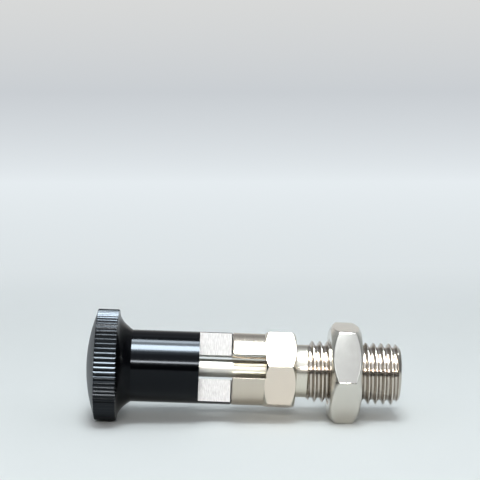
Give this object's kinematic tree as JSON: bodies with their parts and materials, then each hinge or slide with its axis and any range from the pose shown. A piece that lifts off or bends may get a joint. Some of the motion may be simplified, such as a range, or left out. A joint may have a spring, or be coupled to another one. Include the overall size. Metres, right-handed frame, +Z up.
{
  "type": "indexing plunger",
  "caption": "Threaded indexing plunger with a spring-loaded round-nosed pin, a knurled pull knob with a quarter-turn rest position, and a lock nut.",
  "frame": {"origin": "on the surface the plunger lies on, under the middle of its bounding box", "axes": "+X along the plunger from the knob to the thread end, in the plane of that surface; +Z up; the plunger's own axis dips 2.20 degrees below +X, because the knob's rim is larger than the nut"},
  "size_m": [0.0612, 0.0216, 0.0217],
  "materials": {
    "stainless_body": "turned and milled stainless steel, satin",
    "stainless_nut": "tumbled stainless steel, soft satin",
    "stainless_pin": "ground stainless steel, bright",
    "spring_wire": "drawn stainless spring wire",
    "black_aluminium": "turned aluminium, black anodised, with bare milled tongue flats"
  },
  "bodies": {
    "housing": {"threaded_body": "stainless_body"},
    "spring_coil": {"spring": "spring_wire"},
    "plunger": {"locking_pin": "stainless_pin", "knob": "black_aluminium"},
    "nut": {"lock_nut": "stainless_nut"}
  },
  "joints": [
    {"name": "knob_turn", "type": "hinge", "parent": "housing", "child": "spring_coil", "pos_m": [-0.00227, 0, 0.00993], "axis": [0.9993, 0, -0.0383], "continuous": true},
    {"name": "knob_pull", "type": "slide", "parent": "spring_coil", "child": "plunger", "axis": [-0.9993, 0, 0.0383], "range_m": [0, 0.002], "stiffness_N_per_m": 1160, "springref_m": -0.0104, "deforming": ["spring"]},
    {"name": "nut_travel", "type": "slide", "parent": "housing", "child": "nut", "axis": [0.9993, 0, -0.0383], "range_m": [-0.003, 0.006]}
  ]
}
